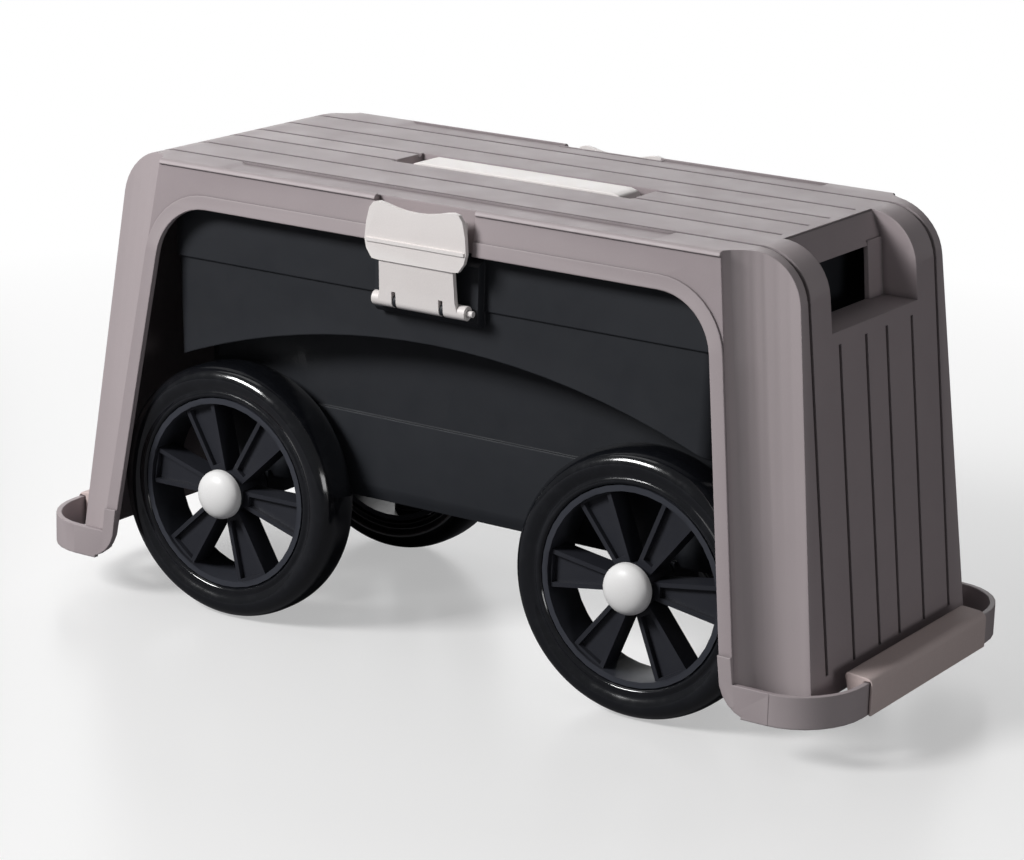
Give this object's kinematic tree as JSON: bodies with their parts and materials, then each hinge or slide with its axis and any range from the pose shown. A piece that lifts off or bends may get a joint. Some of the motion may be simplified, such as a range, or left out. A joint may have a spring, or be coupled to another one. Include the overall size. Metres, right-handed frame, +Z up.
{
  "type": "rolling creeper seat with tool tub",
  "caption": "Low rolling work seat: a ribbed arch-shaped plastic seat shell latched over an open tool tub on large spoked wheels, with foot loops and a strap handle.",
  "frame": {"origin": "bottom centre of the overall box, on the floor under the middle of the seat", "axes": "+X along the length towards the end with the hand-hold, -Y the side seen as the front, +Z up from the floor the wheels stand on"},
  "size_m": [0.6096, 0.2612, 0.3006],
  "materials": {
    "shell_plastic": "fine-grained moulded plastic, warm mauve grey",
    "grip_plastic": "softer matt plastic, lighter pinkish grey",
    "cream_plastic": "satin cream plastic",
    "tub_plastic": "fine-grained charcoal plastic",
    "rim_plastic": "satin black plastic",
    "tyre_rubber": "smooth glossy black tread and side",
    "steel": "plain bright steel"
  },
  "bodies": {
    "tub": {"tub": "tub_plastic", "axle_left": "steel", "axle_right": "steel", "latch_pin_front": "cream_plastic", "latch_pin_back": "cream_plastic", "axle_washer_front_left": "steel", "axle_washer_front_right": "steel", "axle_washer_back_left": "steel", "axle_washer_back_right": "steel", "push_nut_front_left": "steel", "push_nut_front_right": "steel", "push_nut_back_left": "steel", "push_nut_back_right": "steel"},
    "seat": {"seat_shell": "shell_plastic", "grip_left": "grip_plastic", "grip_right": "grip_plastic"},
    "handle": {"carry_handle": "cream_plastic"},
    "latch_front": {"latch_front": "cream_plastic"},
    "latch_back": {"latch_back": "cream_plastic"},
    "wheel_front_left": {"wheel_rim_front_left": "rim_plastic", "tyre_front_left": "tyre_rubber", "hub_cap_front_left": "cream_plastic"},
    "wheel_front_right": {"wheel_rim_front_right": "rim_plastic", "tyre_front_right": "tyre_rubber", "hub_cap_front_right": "cream_plastic"},
    "wheel_back_left": {"wheel_rim_back_left": "rim_plastic", "tyre_back_left": "tyre_rubber", "hub_cap_back_left": "cream_plastic"},
    "wheel_back_right": {"wheel_rim_back_right": "rim_plastic", "tyre_back_right": "tyre_rubber", "hub_cap_back_right": "cream_plastic"}
  },
  "joints": [
    {"name": "seat_lift", "type": "slide", "parent": "tub", "child": "seat", "axis": [0, 0, 1], "range_m": [0, 0.28]},
    {"name": "handle_lift", "type": "slide", "parent": "seat", "child": "handle", "axis": [0, 0, 1], "range_m": [0, 0.008]},
    {"name": "latch_front_swing", "type": "hinge", "parent": "tub", "child": "latch_front", "pos_m": [0, -0.1125, 0.236], "axis": [1, 0, 0], "range_deg": [0, 160]},
    {"name": "latch_back_swing", "type": "hinge", "parent": "tub", "child": "latch_back", "pos_m": [0, 0.1125, 0.236], "axis": [-1, 0, 0], "range_deg": [0, 160]},
    {"name": "wheel_front_left_roll", "type": "hinge", "parent": "tub", "child": "wheel_front_left", "pos_m": [-0.155, -0.0935, 0.085], "axis": [0, 1, 0], "continuous": true},
    {"name": "wheel_front_right_roll", "type": "hinge", "parent": "tub", "child": "wheel_front_right", "pos_m": [0.155, -0.0935, 0.085], "axis": [0, 1, 0], "continuous": true},
    {"name": "wheel_back_left_roll", "type": "hinge", "parent": "tub", "child": "wheel_back_left", "pos_m": [-0.155, 0.0935, 0.085], "axis": [0, 1, 0], "continuous": true},
    {"name": "wheel_back_right_roll", "type": "hinge", "parent": "tub", "child": "wheel_back_right", "pos_m": [0.155, 0.0935, 0.085], "axis": [0, 1, 0], "continuous": true}
  ]
}
